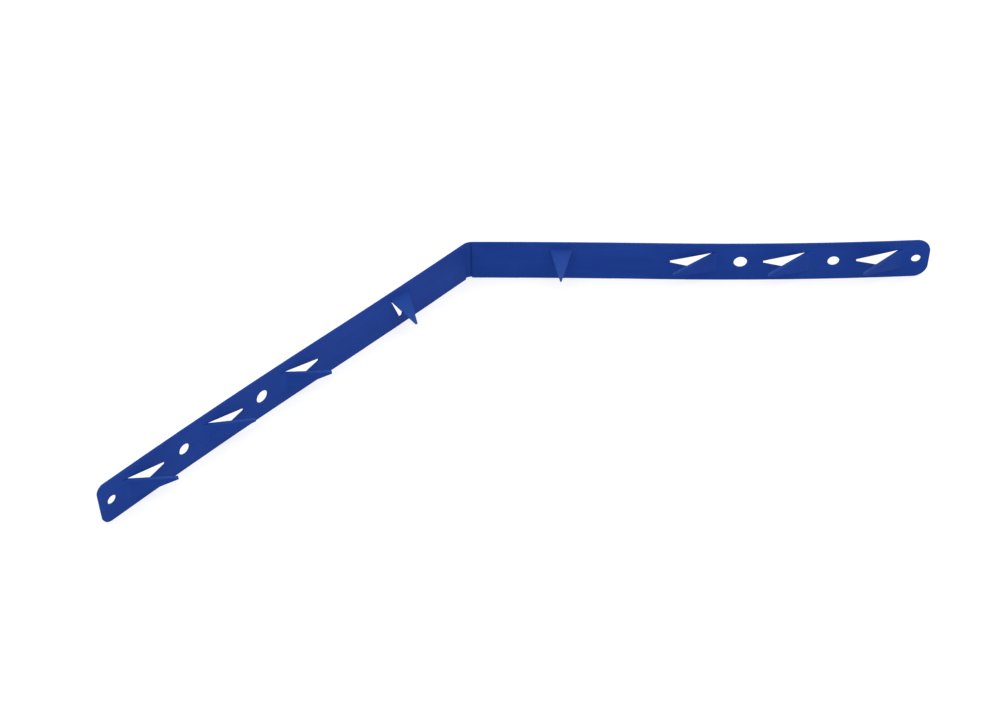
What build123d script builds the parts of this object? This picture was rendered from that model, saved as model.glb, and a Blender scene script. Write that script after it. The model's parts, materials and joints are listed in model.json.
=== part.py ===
from build123d import *

import os
from math import cos, radians, sin, tan

# Sock aid: one moulded polypropylene strip, standing on its long edge and folded at its middle.
#
# Two arms meet at a thin web, the living hinge. Each arm carries one cuff hook near the fold, three
# grip tangs further out and three round holes. The hooks and tangs are tongues, cut from the strip on
# three sides and bent out towards the inside of the fold, so each leaves a window behind it.
#
# The strip stands on the XY plane with the fold towards +Y, the arms towards -X and +X, and the
# hooks and tangs on the -Y side. The origin is the centre of the footprint. Millimetres and degrees.

# ------------------------------------------------------------------ driving dimensions
STRIP_HEIGHT = 40.0
STRIP_THICKNESS = 2.0
ARM_LENGTH = 410.0            # from the crest of the fold to the end of an arm
REST_ANGLE = 131.6            # inside angle between the arms as moulded
EDGE_ROUND = 0.4              # radius along the strip's long edges
CUT_BEVEL = 0.2               # bevel round the windows, the holes and the tongues

WEB_LENGTH = 7.5              # developed length of the living hinge
WEB_THICKNESS = 0.6
WEB_INSET = 0.3               # the web stops this far short of the strip's long edges

FIRST_TANG = 221.6            # distance from the fold to the first tang's root
TANG_PITCH = 82.5
TANG_LENGTH = 43.8
TANG_ROOT_WIDTH = 23.6
TANG_TIP_WIDTH = 2.4
TANG_WINDOW_LENGTH = 41.6
TANG_WINDOW_TIP_WIDTH = 3.0
TANG_BEND_RADIUS = 12.0       # at the middle of the thickness

HOOK_ROOT_HEIGHT = 33.1
HOOK_LENGTH = 30.2
HOOK_ROOT_WIDTH = 21.6
HOOK_TIP_WIDTH = 1.0
HOOK_WINDOW_LENGTH = 24.6
HOOK_WINDOW_TIP_WIDTH = 3.2
HOOK_BEND_RADIUS = 1.6

ROOT_GAP = 0.15               # between a tongue's root and the side of its window
TONGUE_GAP = 0.35             # the same where the flat blade begins

HOLE_DIAMETERS = (12.0, 10.5, 8.5)
HOLE_OFFSETS = (20.7, 20.7, 11.7)   # from each tang's root outwards to its hole

# Each arm is straight to within a few millimetres: a gentle bow near the fold and another beyond
# BOW_CHANGE. Turning towards the inside of the fold is positive, in degrees over that stretch.
# A lift is the angle by which a tang or hook is bent out of the strip; the tangs count outwards.
# A hook's position is the distance from the fold to its middle.
BOW_CHANGE = 170.0
ARMS = {
    "left": {
        "bows": (-1.6, 2.8),
        "end_radius": 8.0,
        "tang_lifts": (29.9, 24.8, 31.5),
        "hook_lift": 43.5,
        "hook_position": 85.3,
    },
    "right": {
        "bows": (1.3, -5.2),
        "end_radius": 12.5,
        "tang_lifts": (26.1, 27.4, 28.8),
        "hook_lift": 53.0,
        "hook_position": 83.2,
    },
}

# ------------------------------------------------------------------ worked-out values
UP = Vector(0, 0, 1)
HALF_THICKNESS = STRIP_THICKNESS / 2
HALF_FOLD = (180.0 - REST_ANGLE) / 2
WEB_RADIUS = WEB_LENGTH / radians(2 * HALF_FOLD)
WEB_OUTSIDE = WEB_RADIUS + WEB_THICKNESS / 2
# The web's outside face is tangent to the arms' backs, where each arm begins.
ARM_START = (WEB_OUTSIDE - HALF_THICKNESS) * tan(radians(HALF_FOLD))
WEB_CENTRE_Y = (HALF_THICKNESS - WEB_OUTSIDE) / cos(radians(HALF_FOLD))


# ------------------------------------------------------------------ one arm's centre line
def arm_centre_line(bows):
    """The left arm's centre line in plan, from the end of the web to the end of the arm."""
    heading = Vector(-1, 0, 0).rotate(Axis.Z, HALF_FOLD)
    start = heading * ARM_START
    lengths = (BOW_CHANGE - ARM_START, ARM_LENGTH - BOW_CHANGE)
    edges = []
    for length, bow in zip(lengths, bows):
        edge = JernArc(start, heading, length / radians(abs(bow)), bow)
        edges.append(edge)
        start, heading = edge @ 1, edge % 1
    return Wire(edges)


def station(line, distance, height=0.0):
    """Plane on the arm at a distance from the fold: x outwards along the arm, y inside, z up."""
    along = distance - ARM_START
    point = line.position_at(along, position_mode=PositionMode.LENGTH)
    heading = line.tangent_at(along, position_mode=PositionMode.LENGTH)
    return Plane(origin=point + UP * height, x_dir=heading, z_dir=UP)


# ------------------------------------------------------------------ tongues: tangs and hooks
class Tongue:
    """A triangular tongue on a plane whose x runs to the tip, y inside and z across the width."""

    def __init__(self, name, plane, lift):
        self.name = name
        self.plane = plane
        self.lift = lift
        if "tang" in name:
            self.length = TANG_LENGTH
            self.root_half = TANG_ROOT_WIDTH / 2
            self.tip_half = TANG_TIP_WIDTH / 2
            self.window_length = TANG_WINDOW_LENGTH
            self.window_tip_half = TANG_WINDOW_TIP_WIDTH / 2
            self.bend_radius = TANG_BEND_RADIUS
        else:
            self.length = HOOK_LENGTH
            self.root_half = HOOK_ROOT_WIDTH / 2
            self.tip_half = HOOK_TIP_WIDTH / 2
            self.window_length = HOOK_WINDOW_LENGTH
            self.window_tip_half = HOOK_WINDOW_TIP_WIDTH / 2
            self.bend_radius = HOOK_BEND_RADIUS
        self.bend_length = self.bend_radius * radians(lift)

    def half_width(self, distance):
        """Half the tongue's width, without its gaps, at a distance from the root."""
        return self.root_half + (self.tip_half - self.root_half) * distance / self.length

    def window(self):
        """The opening that the tongue stands over, right through the strip."""
        outline = [
            (0, self.root_half),
            (self.window_length, self.window_tip_half),
            (self.window_length, -self.window_tip_half),
            (0, -self.root_half),
        ]
        face = Plane.XZ * make_face(Polyline(*outline, close=True))
        return self.plane * extrude(face, STRIP_THICKNESS, both=True)

    def root(self):
        """The bend at the root: a sector of the strip's thickness, tapered."""
        centre = (0, self.bend_radius)
        arcs = []
        for radius in (self.bend_radius + HALF_THICKNESS, self.bend_radius - HALF_THICKNESS):
            arcs.append(CenterArc(centre, radius, -90, self.lift))
        ends = [Line(arcs[0] @ 0, arcs[1] @ 0), Line(arcs[0] @ 1, arcs[1] @ 1)]
        sector = extrude(make_face(arcs + ends), self.root_half, both=True)
        reach = (self.bend_radius + HALF_THICKNESS) * sin(radians(self.lift))
        start = self.half_width(0) - ROOT_GAP
        end = self.half_width(reach) - TONGUE_GAP
        taper = make_face(Polyline((0, start), (reach, end), (reach, -end), (0, -start), close=True))
        slab = extrude(Plane.XZ * taper, self.length, both=True)
        return self.plane * (sector & slab)

    def blade(self):
        """The flat part beyond the bend, with its edges bevelled except at the bend."""
        start = self.half_width(self.bend_length) - TONGUE_GAP
        end = self.tip_half
        run = self.length - self.bend_length
        outline = make_face(Polyline((0, start), (run, end), (run, -end), (0, -start), close=True))
        flat = extrude(Plane.XZ * outline, HALF_THICKNESS, both=True)
        root_edges = flat.faces().sort_by(Axis.X)[0].edges()
        flat = chamfer([e for e in flat.edges() if e not in root_edges], CUT_BEVEL)
        bend_end = Location((self.bend_radius * sin(radians(self.lift)),
                             self.bend_radius * (1 - cos(radians(self.lift))), 0), (0, 0, self.lift))
        return self.plane * (bend_end * flat)

    def pivot(self):
        """Where the blade's and the strip's middle planes cross, and the lifting axis."""
        reach = self.bend_radius * tan(radians(self.lift / 2))
        return self.plane.from_local_coords(Vector(reach, 0, 0)), self.plane.z_dir


def arm_tongues(side, line):
    """The tangs, numbered from the fold outwards, and the cuff hook of one arm."""
    tongues = []
    for number, lift in enumerate(ARMS[side]["tang_lifts"]):
        at = station(line, FIRST_TANG + number * TANG_PITCH, STRIP_HEIGHT / 2)
        plane = Plane(origin=at.origin, x_dir=-at.x_dir, z_dir=-UP)
        tongues.append(Tongue(f"{side}_grip_tang_{number + 1}", plane, lift))
    at = station(line, ARMS[side]["hook_position"], HOOK_ROOT_HEIGHT)
    plane = Plane(origin=at.origin, x_dir=-UP, z_dir=at.x_dir)
    tongues.append(Tongue(f"{side}_cuff_hook", plane, ARMS[side]["hook_lift"]))
    return tongues


# ------------------------------------------------------------------ the arms and the web
def arm_blank(line, end_radius):
    """The bare strip of one arm, with round end corners and rounded long edges."""
    begin = station(line, ARM_START, STRIP_HEIGHT / 2)
    section = Plane(origin=begin.origin, x_dir=begin.y_dir, z_dir=begin.x_dir)
    blank = sweep(section * Rectangle(STRIP_THICKNESS, STRIP_HEIGHT), path=line)
    end = station(line, ARM_LENGTH, STRIP_HEIGHT / 2)
    across = blank.edges().filter_by(lambda e: abs(e.length - STRIP_THICKNESS) < 0.01)
    blank = fillet(across.sort_by_distance(end.origin)[:2], end_radius)
    joined_face = blank.faces().sort_by_distance(begin.origin)[0]
    joined_edges = joined_face.edges()
    free_edges = [e for e in blank.edges()
                  if e not in joined_edges and e.length > STRIP_THICKNESS + 0.01]
    # The step down to the web has a free edge too, on the inside of the fold.
    step = joined_edges.filter_by(Axis.Z).sort_by_distance(begin.origin + begin.y_dir * STRIP_THICKNESS)[0]
    return fillet(free_edges + [step], EDGE_ROUND)


def bevel_cut(arm, plane, is_cut_edge):
    """Bevels the edges that a cut through the arm leaves on both its faces.

    is_cut_edge says whether a middle point, as x along and z across the cut's plane, is on such an edge.
    """
    chosen = []
    for edge in arm.edges():
        local = plane.to_local_coords(edge @ 0.5)
        on_face = abs(abs(local.Y) - HALF_THICKNESS) < HALF_THICKNESS / 2
        if on_face and is_cut_edge(local.X, local.Z):
            chosen.append(edge)
    return chamfer(chosen, CUT_BEVEL)


def cut_window(arm, tongue):
    """Cuts a tongue's window and bevels its edges, except the one that the tongue grows from."""
    margin = TONGUE_GAP

    def is_cut_edge(x, z):
        return margin < x < tongue.window_length + margin and abs(z) < tongue.root_half

    return bevel_cut(arm - tongue.window(), tongue.plane, is_cut_edge)


def cut_hole(arm, at, diameter):
    """Drills a round hole square to the strip and bevels its edges."""
    across = Plane(origin=at.origin, x_dir=at.x_dir, z_dir=at.y_dir)
    arm = arm - across * Cylinder(diameter / 2, 2 * STRIP_THICKNESS)

    def is_cut_edge(x, z):
        return x * x + z * z < diameter * diameter

    return bevel_cut(arm, at, is_cut_edge)


def build_arm(side, bows, end_radius):
    """One arm as a left arm: its nodes by name, and its tongues."""
    line = arm_centre_line(bows)
    tongues = arm_tongues(side, line)
    arm = arm_blank(line, end_radius)
    for number, (diameter, offset) in enumerate(zip(HOLE_DIAMETERS, HOLE_OFFSETS)):
        at = station(line, FIRST_TANG + number * TANG_PITCH + offset, STRIP_HEIGHT / 2)
        arm = cut_hole(arm, at, diameter)
    for tongue in tongues:
        arm = cut_window(arm, tongue)
    nodes = {f"{side}_arm": arm}
    for tongue in tongues:
        nodes[tongue.name + "_root"] = tongue.root()
        nodes[tongue.name] = tongue.blade()
    return nodes, tongues


def build_web():
    """The living hinge: a thin arc that carries on the arms' backs round the fold."""
    centre = (0, WEB_CENTRE_Y)
    arcs = []
    for radius in (WEB_OUTSIDE, WEB_OUTSIDE - WEB_THICKNESS):
        arcs.append(CenterArc(centre, radius, 90 - HALF_FOLD, 2 * HALF_FOLD))
    ends = [Line(arcs[0] @ 0, arcs[1] @ 0), Line(arcs[0] @ 1, arcs[1] @ 1)]
    web = extrude(make_face(arcs + ends), STRIP_HEIGHT - 2 * WEB_INSET)
    return Pos(0, 0, WEB_INSET) * web


# ------------------------------------------------------------------ the whole strip
def build_strip():
    """Every node in its place, and the joints' points and axes, in the fold's own frame."""
    nodes = {"fold_web": build_web()}
    pivots = {}
    for side, shape in ARMS.items():
        arm_nodes, tongues = build_arm(side, shape["bows"], shape["end_radius"])
        for name, solid in arm_nodes.items():
            nodes[name] = solid.mirror(Plane.YZ) if side == "right" else solid
        for tongue in tongues:
            point, axis = tongue.pivot()
            if side == "right":
                point = Vector(-point.X, point.Y, point.Z)
                axis = Vector(axis.X, -axis.Y, -axis.Z)
            pivots[tongue.name] = (point, axis)
    chord_y = WEB_CENTRE_Y + WEB_RADIUS * cos(radians(HALF_FOLD))
    pivots["centre_fold"] = (Vector(0, chord_y, STRIP_HEIGHT / 2), UP)
    return nodes, pivots


def centre_on_footprint(nodes, pivots):
    """Moves everything so that the origin is the centre of the footprint."""
    box = Compound(list(nodes.values())).bounding_box()
    shift = Vector(-box.center().X, -box.center().Y, 0)
    moved = {name: Pos(shift) * solid for name, solid in nodes.items()}
    return moved, {name: (point + shift, axis) for name, (point, axis) in pivots.items()}


NODES, PIVOTS = centre_on_footprint(*build_strip())

os.makedirs("parts", exist_ok=True)
for node_name, node_solid in NODES.items():
    export_step(node_solid, f"parts/{node_name}.step")
for joint_name, (joint_point, joint_axis) in PIVOTS.items():
    print(joint_name, tuple(round(v, 3) for v in joint_point), tuple(round(v, 4) for v in joint_axis))
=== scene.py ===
"""Looks of the sock aid: satin blue plastic on the moulded strip, and a plain white studio.

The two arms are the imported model's own nodes. The fold's web and the eight tongues, which flex, are made
here as whole meshes that bend between their bodies. Metres and radians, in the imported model's frame.
"""

import json
from math import cos, pi, radians, sin, tan

import bmesh
import bpy
from mathutils import Matrix, Vector


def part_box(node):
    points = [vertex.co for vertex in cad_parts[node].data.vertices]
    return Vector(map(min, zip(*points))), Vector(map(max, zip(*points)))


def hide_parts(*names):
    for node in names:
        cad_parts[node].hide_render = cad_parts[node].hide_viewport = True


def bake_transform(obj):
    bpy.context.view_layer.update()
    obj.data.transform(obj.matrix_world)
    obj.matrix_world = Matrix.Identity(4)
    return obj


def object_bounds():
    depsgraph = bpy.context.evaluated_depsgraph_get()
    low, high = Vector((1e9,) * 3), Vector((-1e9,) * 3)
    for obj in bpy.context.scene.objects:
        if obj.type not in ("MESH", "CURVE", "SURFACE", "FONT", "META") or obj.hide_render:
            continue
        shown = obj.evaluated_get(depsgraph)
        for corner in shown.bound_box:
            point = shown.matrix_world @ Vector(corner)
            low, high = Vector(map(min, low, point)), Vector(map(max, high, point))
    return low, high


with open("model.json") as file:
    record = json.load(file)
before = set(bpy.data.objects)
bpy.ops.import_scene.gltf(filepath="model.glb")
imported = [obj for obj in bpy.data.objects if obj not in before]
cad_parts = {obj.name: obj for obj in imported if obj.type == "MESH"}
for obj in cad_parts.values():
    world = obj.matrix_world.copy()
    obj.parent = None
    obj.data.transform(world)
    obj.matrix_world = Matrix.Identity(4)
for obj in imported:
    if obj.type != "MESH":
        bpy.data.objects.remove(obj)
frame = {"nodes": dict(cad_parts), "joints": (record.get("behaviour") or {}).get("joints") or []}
cad_low, cad_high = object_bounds()

MM = 0.001

# ------------------------------------------------------------------ shape values
SOFT_EDGE = 0.28 * MM         # rounding of the tongues' and the web's edges
SOFT_EDGE_STEPS = 3
SHARP_ANGLE = radians(50)     # an edge turning more than this is rounded
PLUG_DEPTH = 0.5 * MM         # how far a flexing piece reaches, unseen, into the arm it grows from
PLUG_INSET = 0.03 * MM        # how far its skin lies below the arm's there
BEND_STEPS = 14               # rings round a tongue's bend
ROOT_FLARE = 0.14 * MM        # how much wider each side of its root is, to meet the window's side
CORNER_REACH = 0.01 * MM      # a point this close to the bend's widest is one of its root corners
BLADE_STEPS = 12              # rings along a tongue's flat blade
TIP_REACH = 1.0 * MM          # a point this close to the blade's far end is at its tip
WEB_STEPS = 28                # rings round the fold
WEB_FILLET = 1.0 * MM         # radius between the web and the arms' thick ends
WEB_ROWS = 12                 # faces up the web's height
TONGUE_ROWS = 8               # faces across a tongue's width
HIGHLIGHT_DEPTH = 1.8 * MM         # how far the painted highlight on a tongue's upper edge spreads down its face
ROOT_HIGHLIGHT = 0.25              # strength of that painted highlight where the blade starts, growing to 1 at its tip

# ------------------------------------------------------------------ plastic values
# Colours, as linear red, green, blue and alpha.
DEEP_BLUE = (0.0082, 0.0352, 0.219, 1)
BODY_BLUE = (0.0090, 0.0402, 0.241, 1)
PALE_BLUE = (0.0120, 0.0485, 0.266, 1)
STRESSED_BLUE = (0.014, 0.062, 0.300, 1)   # where the plastic flexes
SCUFF_BLUE = (0.026, 0.080, 0.330, 1)
EDGE_HIGHLIGHT_BLUE = (0.032, 0.080, 0.275, 1)       # painted highlight on the tongues' upper edges

# How much of a colour covers the one below it: at most, or from least to most.
MOTTLE_SHARE = 0.55
SPECK_SHARE = 0.25
SCUFF_SHARE = 0.35
STRESSED_SHARES = (0.06, 0.20)
# how much the painted highlight on the tongues' upper edges covers, from least to most
EDGE_HIGHLIGHT_SHARES = (0.35, 0.65)

SPECULAR_LEVEL = 0.035
ROUGHNESSES = (0.36, 0.46)                 # over the mottle, from least to most
GRAIN_ROUGHNESSES = (-0.03, 0.05)          # added by the grain
SCUFF_ROUGHNESS = 0.16                     # added by a full scuff

# Noise scales, in cycles per metre. Three together are along the strip, through it and up it.
STREAK_SCALES = (14, 30, 95)
WAVE_SCALES = (24, 24, 40)
MOTTLE_SCALE = 38.0
WEAR_SCALE = 22.0
SPECK_SCALE = 620.0
GRAIN_SCALE = 1900.0

# Hairline scuffs, one set to a line: turn in radians, cycles per metre along and across, lowest noise.
SCUFF_SETS = (
    (0.06, 30, 1500, 0.70),
    (-0.35, 42, 1900, 0.715),
    (1.1, 55, 2200, 0.73),
)
SCUFF_THROUGH = 200           # cycles per metre through the strip
SCUFF_FADE = 0.06             # how much more noise makes a scuff full
WORN_NOISE = (0.42, 0.66)     # noise between which scuffs go from none to all

# Heights of the relief.
WAVE_DEPTH = 0.35 * MM
STREAK_DEPTH = 0.05 * MM
GRAIN_DEPTH = 0.012 * MM
SCUFF_DEPTH = 0.015 * MM

# ------------------------------------------------------------------ camera and studio values
VIEW_AZIMUTH = radians(-22.51)
VIEW_ELEVATION = radians(41.95)
VIEW_ROLL = radians(-1.04)
VIEW_DISTANCE = 1.5228
VIEW_LENS = 65.47
AIM_OFFSET = Vector((-26.1 * MM, -51.1 * MM, 0))   # from the middle of the object to the aim point

FLOOR_SIZE = 30.0
FLOOR_COLOUR = (0.30, 0.30, 0.302)
FLOOR_ROUGHNESS = 0.9
FLOOR_GLOW = 0.72             # it glows a little, so that shadows on it stay faint
SKY_STRENGTH = 0.96
SOFTBOX_HEIGHT = 2.2
SOFTBOX_SIZE = 2.6
SOFTBOX_POWER = 28.0


# ------------------------------------------------------------------ reading the frame
def joint_to(child):
    """The joint that carries a body."""
    return next(j for j in frame["joints"] if j["child"] == child)


def half_fold_angle():
    """How far each arm is turned from the flat strip: half of what the fold opens from rest to flat."""
    return -radians(joint_to("left_arm")["range_deg"][0]) / 2


def node_points(name):
    """The separate corner points of a CAD node."""
    corners = {tuple(round(c, 8) for c in v.co) for v in frame["nodes"][name].data.vertices}
    return [Vector(c) for c in sorted(corners)]


# ------------------------------------------------------------------ lofted pieces
class Ring:
    """One cross-section of a lofted piece: where it is, which way it faces, its size and its bending."""

    def __init__(self, centre, across, through, half_width, half_depth, bend=0.0, pale=0.0):
        self.centre = centre
        self.across = across          # unit vector along the width
        self.through = through        # unit vector through the thickness
        self.half_width = half_width
        self.half_depth = half_depth
        self.bend = bend              # 0 where the plastic is as moulded, 1 where it flexes most
        self.pale = pale              # how strong the painted highlight on its upper edge is, from 0 to 1

    def points(self, rows):
        """The section's outline: up one face in rows, and back down the other."""
        steps = [2 * i / rows - 1 for i in range(rows + 1)]
        outline = []
        for side, heights in ((1, steps), (-1, reversed(steps))):
            for height in heights:
                outline.append(self.centre + self.across * (height * self.half_width)
                               + self.through * (side * self.half_depth))
        return outline


def loft(name, rings, rows):
    """A closed mesh through the rings, with rounded edges and smooth shading."""
    mesh = bpy.data.meshes.new(name)
    shape = bmesh.new()
    bend_layer = shape.verts.layers.float.new("bend")
    highlight_layer = shape.verts.layers.float.new("pale")
    loops = []
    for ring in rings:
        outline = ring.points(rows)
        top = max(point.z for point in outline)
        loop = [shape.verts.new(point) for point in outline]
        for vertex in loop:
            vertex[bend_layer] = ring.bend
            # The painted highlight is strongest at the section's top and fades down its face.
            vertex[highlight_layer] = ring.pale * max(0.0, 1 - (top - vertex.co.z) / HIGHLIGHT_DEPTH)
        loops.append(loop)
    count = len(loops[0])
    for before, after in zip(loops, loops[1:]):
        for i in range(count):
            k = (i + 1) % count
            shape.faces.new((before[i], before[k], after[k], after[i]))
    for loop in (loops[0], loops[-1]):
        for i in range(rows):
            shape.faces.new((loop[i], loop[i + 1], loop[count - 2 - i], loop[count - 1 - i]))
    bmesh.ops.recalc_face_normals(shape, faces=shape.faces)
    for face in shape.faces:
        face.smooth = True
    shape.to_mesh(mesh)
    shape.free()
    piece = bpy.data.objects.new(name, mesh)
    bpy.context.scene.collection.objects.link(piece)
    rounding = piece.modifiers.new("rounding", "BEVEL")
    rounding.width = SOFT_EDGE
    rounding.segments = SOFT_EDGE_STEPS
    rounding.limit_method = "ANGLE"
    rounding.angle_limit = SHARP_ANGLE
    shading = piece.modifiers.new("shading", "WEIGHTED_NORMAL")
    shading.keep_sharp = False
    return piece


# ------------------------------------------------------------------ tongues: tangs and hooks
def make_tongue(name):
    """One tang or hook with its bend, as a single mesh that flexes between the arm and the tongue's body."""
    joint = joint_to(name)
    pivot = Vector(joint["pos_m"])
    axis = Vector(joint["axis"]).normalized()
    blade = node_points(name)
    heading = sum(blade, Vector()) / len(blade) - pivot
    heading = (heading - axis * heading.dot(axis)).normalized()
    through = axis.cross(heading)
    lengths = [(p - pivot).dot(heading) for p in blade]
    widths = [abs((p - pivot).dot(axis)) for p in blade]
    start, end = min(lengths), max(lengths)
    tip_half = max(w for w, length in zip(widths, lengths) if length > end - TIP_REACH)
    blade_half = max(widths)
    half_depth = max(abs((p - pivot).dot(through)) for p in blade)

    # The bend is widest where it leaves the arm, so its widest points are the corners there.
    bend = node_points(name + "_root")
    root_half = max(abs((p - pivot).dot(axis)) for p in bend)
    corners = [p for p in bend if abs((p - pivot).dot(axis)) > root_half - CORNER_REACH]
    root = sum(corners, Vector()) / len(corners)
    along = (pivot - root).normalized()              # the arm's own direction there
    inside = axis.cross(along)
    lift = along.angle(heading)
    radius = start / tan(lift / 2)
    rings = [Ring(root - along * PLUG_DEPTH, axis, inside, root_half - PLUG_INSET, half_depth - PLUG_INSET)]
    for i in range(BEND_STEPS + 1):
        turn = lift * i / BEND_STEPS
        centre = root + along * (radius * sin(turn)) + inside * (radius * (1 - cos(turn)))
        flare = ROOT_FLARE * (1 - i / BEND_STEPS) ** 2
        half_width = root_half + flare + (blade_half - root_half) * sin(turn) / sin(lift)
        facing = inside * cos(turn) - along * sin(turn)
        rings.append(Ring(centre, axis, facing, half_width, half_depth, sin(pi * i / BEND_STEPS)))
    for i in range(1, BLADE_STEPS + 1):
        share = i / BLADE_STEPS
        centre = pivot + heading * (start + (end - start) * share)
        half_width = blade_half + (tip_half - blade_half) * share
        # A painted highlight along the blade's upper edge, growing from root to tip.
        pale = ROOT_HIGHLIGHT + (1 - ROOT_HIGHLIGHT) * share
        rings.append(Ring(centre, axis, through, half_width, half_depth, pale=pale))
    piece = loft(name + "_flexing", rings, TONGUE_ROWS)
    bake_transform(piece)
    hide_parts(name, name + "_root")
    return piece


# ------------------------------------------------------------------ the web at the fold
def make_web():
    """The living hinge, thin between the arms' thick ends, with a small fillet at each."""
    joint = joint_to("left_arm")
    low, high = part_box("fold_web")
    half_fold = half_fold_angle()
    chord_y = joint["pos_m"][1]
    outside = (high.x - low.x) / 2 / sin(half_fold)
    thickness = 2 * (chord_y - low.y) / cos(half_fold)
    middle = outside - thickness / 2
    centre = Vector(((low.x + high.x) / 2, chord_y - middle * cos(half_fold), (low.z + high.z) / 2))
    half_height = (high.z - low.z) / 2

    def ring(turn, beyond=0.0):
        """The section at an angle round the fold, or beyond its end, inside the arm."""
        outwards = Vector((sin(turn), cos(turn), 0))
        onwards = Vector((cos(turn), -sin(turn), 0))
        from_arm = outside * (half_fold - abs(turn))
        into_fillet = max(0.0, WEB_FILLET - from_arm)
        depth = thickness + WEB_FILLET - (WEB_FILLET ** 2 - into_fillet ** 2) ** 0.5
        inset = PLUG_INSET if beyond else 0.0
        place = centre + outwards * (outside - depth / 2) + onwards * beyond
        bend = cos(pi / 2 * turn / half_fold) ** 2
        return Ring(place, Vector((0, 0, 1)), outwards, half_height - inset, depth / 2 - inset, bend)

    rings = [ring(half_fold, PLUG_DEPTH)]
    for i in range(WEB_STEPS + 1):
        # Closer together at the ends, where the fillets are.
        rings.append(ring(half_fold * cos(pi * i / WEB_STEPS)))
    rings.append(ring(-half_fold, -PLUG_DEPTH))
    piece = loft("fold_web_flexing", rings, WEB_ROWS)
    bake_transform(piece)
    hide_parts("fold_web")
    return piece


# ------------------------------------------------------------------ material
class Nodes:
    """Short names for making and joining shader nodes."""

    def __init__(self, material):
        material.use_nodes = True
        self.tree = material.node_tree
        self.tree.nodes.clear()

    def put(self, socket, value):
        """Sets an input to a number or colour, or joins it to an output."""
        if isinstance(value, bpy.types.NodeSocket):
            self.tree.links.new(value, socket)
        else:
            socket.default_value = value

    def add(self, kind, settings=None, **inputs):
        """A node with its settings and its inputs, whose names have _ for each space."""
        node = self.tree.nodes.new(kind)
        for key, value in (settings or {}).items():
            setattr(node, key, value)
        for key, value in inputs.items():
            self.put(node.inputs[key.replace("_", " ")], value)
        return node

    def maths(self, operation, a, b=0.0, clamp=False):
        """a and b put together by a Math node."""
        node = self.tree.nodes.new("ShaderNodeMath")
        node.operation = operation
        node.use_clamp = clamp
        self.put(node.inputs[0], a)
        self.put(node.inputs[1], b)
        return node.outputs[0]

    def noise(self, vector, scale, detail=2.0, roughness=0.5, distortion=0.0):
        """Noise between 0 and 1, at a scale in cycles to each unit of the vector."""
        node = self.add("ShaderNodeTexNoise", Vector=vector, Scale=scale, Detail=detail,
                        Roughness=roughness, Distortion=distortion)
        return node.outputs["Fac"]

    def spread(self, value, low, high, to_low=0.0, to_high=1.0):
        """Maps low..high onto to_low..to_high, smoothly, and holds it there outside."""
        node = self.add("ShaderNodeMapRange", {"interpolation_type": "SMOOTHSTEP"}, Value=value)
        node.inputs["From Min"].default_value = low
        node.inputs["From Max"].default_value = high
        node.inputs["To Min"].default_value = to_low
        node.inputs["To Max"].default_value = to_high
        return node.outputs["Result"]

    def mix(self, share, first, second):
        """A colour between two, each a colour or an output."""
        node = self.add("ShaderNodeMix", {"data_type": "RGBA"})
        # A Mix node's colour sockets come after its number and vector sockets.
        for number, value in ((0, share), (6, first), (7, second)):
            self.put(node.inputs[number], value)
        return node.outputs[2]

    def stretched(self, vector, scales, turn=0.0):
        """The position scaled by a different amount along each axis, after a turn about the thickness."""
        turned = self.add("ShaderNodeMapping", Vector=vector, Rotation=(0, turn, 0)).outputs[0]
        return self.add("ShaderNodeMapping", Vector=turned, Scale=scales).outputs[0]


def along_strip(nodes, place):
    """The position with both arms turned onto +X, so that streaks and scuffs run along the strip."""
    split = nodes.add("ShaderNodeSeparateXYZ", Vector=place)
    folded = nodes.add("ShaderNodeCombineXYZ", X=nodes.maths("ABSOLUTE", split.outputs[0]),
                       Y=split.outputs[1], Z=split.outputs[2]).outputs[0]
    return nodes.add("ShaderNodeMapping", Vector=folded, Rotation=(0, 0, half_fold_angle())).outputs[0]


def hairline_scuffs(nodes, place, strip):
    """Fine scratches in a few directions, from 0 to 1, where the plastic is worn."""
    scuffs = 0.0
    for turn, along, across, low in SCUFF_SETS:
        lines = nodes.noise(nodes.stretched(strip, (along, SCUFF_THROUGH, across), turn), 1.0, 1.0, 0.4)
        lines = nodes.spread(lines, low, low + SCUFF_FADE)
        scuffs = nodes.maths("MAXIMUM", scuffs, lines)
    worn = nodes.spread(nodes.noise(place, WEAR_SCALE, 2.0), *WORN_NOISE)
    return nodes.maths("MULTIPLY", scuffs, worn)


def plastic_colour(nodes, streaks, mottle, specks, scuffs):
    """Blue with streaks, mottle and specks, paler where it is scuffed or flexes, with a painted highlight
    along the tongues' upper edges.
    """
    colour = nodes.mix(nodes.spread(streaks, 0.28, 0.72), DEEP_BLUE, BODY_BLUE)
    colour = nodes.mix(nodes.spread(mottle, 0.45, 0.85, 0.0, MOTTLE_SHARE), colour, PALE_BLUE)
    colour = nodes.mix(nodes.spread(specks, 0.60, 0.80, 0.0, SPECK_SHARE), colour, PALE_BLUE)
    colour = nodes.mix(nodes.maths("MULTIPLY", scuffs, SCUFF_SHARE), colour, SCUFF_BLUE)
    bend = nodes.add("ShaderNodeAttribute", {"attribute_name": "bend"}).outputs["Fac"]
    stressed = nodes.maths("MULTIPLY", bend, nodes.spread(specks, 0.2, 0.8, *STRESSED_SHARES))
    colour = nodes.mix(stressed, colour, STRESSED_BLUE)
    # Painted highlight along the tongues' upper edges, broken up by the specks.
    pale = nodes.add("ShaderNodeAttribute", {"attribute_name": "pale"}).outputs["Fac"]
    edge_highlight = nodes.maths("MULTIPLY", pale, nodes.spread(specks, 0.2, 0.8, *EDGE_HIGHLIGHT_SHARES))
    return nodes.mix(edge_highlight, colour, EDGE_HIGHLIGHT_BLUE)


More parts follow.
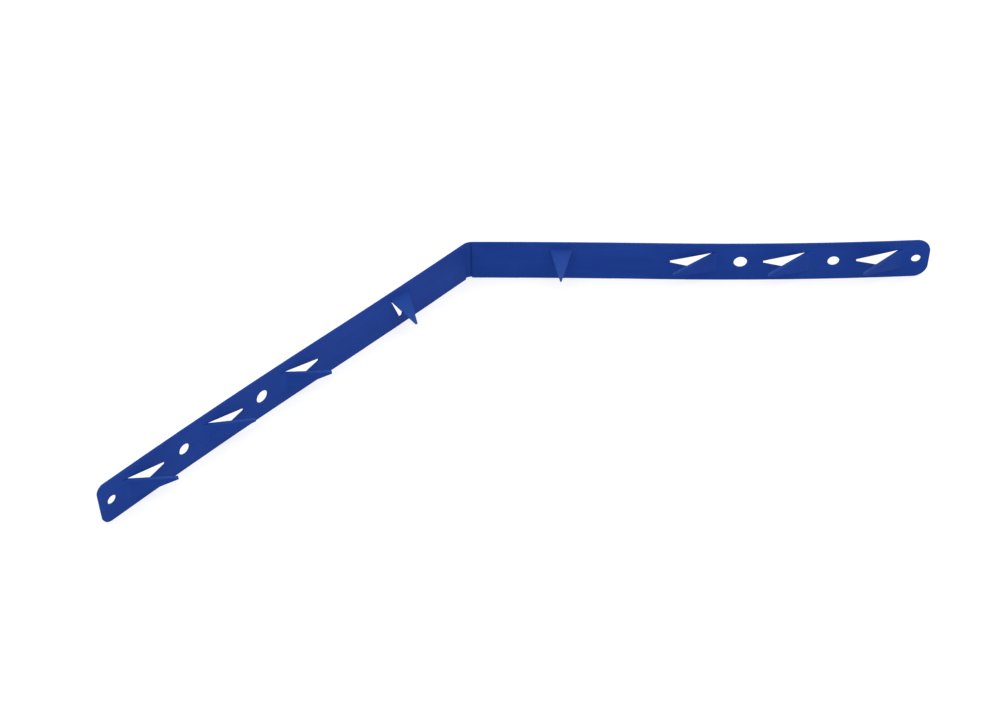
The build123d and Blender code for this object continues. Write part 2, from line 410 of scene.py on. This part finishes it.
def plastic_roughness(nodes, mottle, grain, scuffs):
    """Satin, a little uneven, and duller where it is scuffed."""
    rough = nodes.spread(mottle, 0.3, 0.7, *ROUGHNESSES)
    rough = nodes.maths("ADD", rough, nodes.spread(grain, 0.3, 0.7, *GRAIN_ROUGHNESSES))
    return nodes.maths("ADD", rough, nodes.maths("MULTIPLY", scuffs, SCUFF_ROUGHNESS), clamp=True)


def plastic_relief(nodes, strip, streaks, grain, scuffs):
    """Slow waves, flow streaks and mould grain, with the scuffs cut in."""
    waves = nodes.noise(nodes.stretched(strip, WAVE_SCALES), 1.0, 1.5, 0.4)
    surface = nodes.add("ShaderNodeBump", Height=waves, Strength=1.0, Distance=WAVE_DEPTH)
    surface = nodes.add("ShaderNodeBump", Height=streaks, Strength=1.0, Distance=STREAK_DEPTH,
                        Normal=surface.outputs[0])
    surface = nodes.add("ShaderNodeBump", Height=grain, Strength=0.6, Distance=GRAIN_DEPTH,
                        Normal=surface.outputs[0])
    surface = nodes.add("ShaderNodeBump", {"invert": True}, Height=scuffs, Strength=0.5,
                        Distance=SCUFF_DEPTH, Normal=surface.outputs[0])
    return surface.outputs[0]


def make_plastic():
    """Satin moulded polypropylene: faint flow streaks and mottle, fine grain, hairline scuffs, pale bends,
    and a painted highlight on the tongues' upper edges.
    """
    material = bpy.data.materials.new("satin_polypropylene")
    nodes = Nodes(material)
    place = nodes.add("ShaderNodeTexCoord").outputs["Object"]
    strip = along_strip(nodes, place)
    streaks = nodes.noise(nodes.stretched(strip, STREAK_SCALES), 1.0, 4.0, 0.55, 0.7)
    mottle = nodes.noise(place, MOTTLE_SCALE, 3.0, 0.5, 0.3)
    grain = nodes.noise(place, GRAIN_SCALE, 2.0, 0.6)
    specks = nodes.noise(place, SPECK_SCALE, 2.0, 0.5)
    scuffs = hairline_scuffs(nodes, place, strip)
    shader = nodes.add("ShaderNodeBsdfPrincipled",
                       Base_Color=plastic_colour(nodes, streaks, mottle, specks, scuffs),
                       Roughness=plastic_roughness(nodes, mottle, grain, scuffs),
                       Normal=plastic_relief(nodes, strip, streaks, grain, scuffs))
    shader.inputs["Specular IOR Level"].default_value = SPECULAR_LEVEL
    nodes.add("ShaderNodeOutputMaterial", Surface=shader.outputs[0])
    return material


# ------------------------------------------------------------------ studio
def make_floor():
    """A plain pale floor under the strip, glowing a little."""
    mesh = bpy.data.meshes.new("floor")
    half = FLOOR_SIZE / 2
    corners = [(-half, -half, 0), (half, -half, 0), (half, half, 0), (-half, half, 0)]
    mesh.from_pydata(corners, [], [(0, 1, 2, 3)])
    floor = bpy.data.objects.new("floor", mesh)
    bpy.context.scene.collection.objects.link(floor)
    material = bpy.data.materials.new("pale_floor")
    material.use_nodes = True
    shader = material.node_tree.nodes["Principled BSDF"]
    shader.inputs["Base Color"].default_value = (*FLOOR_COLOUR, 1)
    shader.inputs["Roughness"].default_value = FLOOR_ROUGHNESS
    shader.inputs["Specular IOR Level"].default_value = 0.0
    shader.inputs["Emission Color"].default_value = (1, 1, 1, 1)
    shader.inputs["Emission Strength"].default_value = FLOOR_GLOW
    mesh.materials.append(material)


def make_lights(aim):
    """Even white surroundings and one large softbox straight above."""
    world = bpy.data.worlds.new("studio")
    world.use_nodes = True
    sky = world.node_tree.nodes["Background"]
    sky.inputs["Color"].default_value = (1, 1, 1, 1)
    sky.inputs["Strength"].default_value = SKY_STRENGTH
    bpy.context.scene.world = world
    light = bpy.data.lights.new("softbox", "AREA")
    light.shape = "SQUARE"
    light.size = SOFTBOX_SIZE
    light.energy = SOFTBOX_POWER
    softbox = bpy.data.objects.new("softbox", light)
    softbox.location = (aim.x, aim.y, SOFTBOX_HEIGHT)
    bpy.context.scene.collection.objects.link(softbox)


def make_camera(aim):
    """A camera above the open side of the fold, a little to the left."""
    back = Vector((sin(VIEW_AZIMUTH) * cos(VIEW_ELEVATION),
                   -cos(VIEW_AZIMUTH) * cos(VIEW_ELEVATION), sin(VIEW_ELEVATION)))
    data = bpy.data.cameras.new("camera")
    data.lens = VIEW_LENS
    camera = bpy.data.objects.new("camera", data)
    turn = (-back).to_track_quat("-Z", "Y").to_matrix().to_4x4() @ Matrix.Rotation(VIEW_ROLL, 4, "Z")
    camera.matrix_world = Matrix.Translation(aim + back * VIEW_DISTANCE) @ turn
    bpy.context.scene.collection.objects.link(camera)
    bpy.context.scene.camera = camera


# ------------------------------------------------------------------ everything put together
plastic = make_plastic()
flexing = [make_web()]
for tongue_joint in frame["joints"]:
    if tongue_joint["child"] != "left_arm":
        flexing.append(make_tongue(tongue_joint["child"]))
for flexing_piece in flexing:
    flexing_piece.data.materials.append(plastic)
for arm_name in ("left_arm", "right_arm"):
    frame["nodes"][arm_name].material_slots[0].material = plastic

middle_of_object = (cad_low + cad_high) / 2
aim_point = middle_of_object + AIM_OFFSET
make_floor()
make_lights(aim_point)
make_camera(aim_point)
bpy.context.scene.view_settings.view_transform = "Standard"
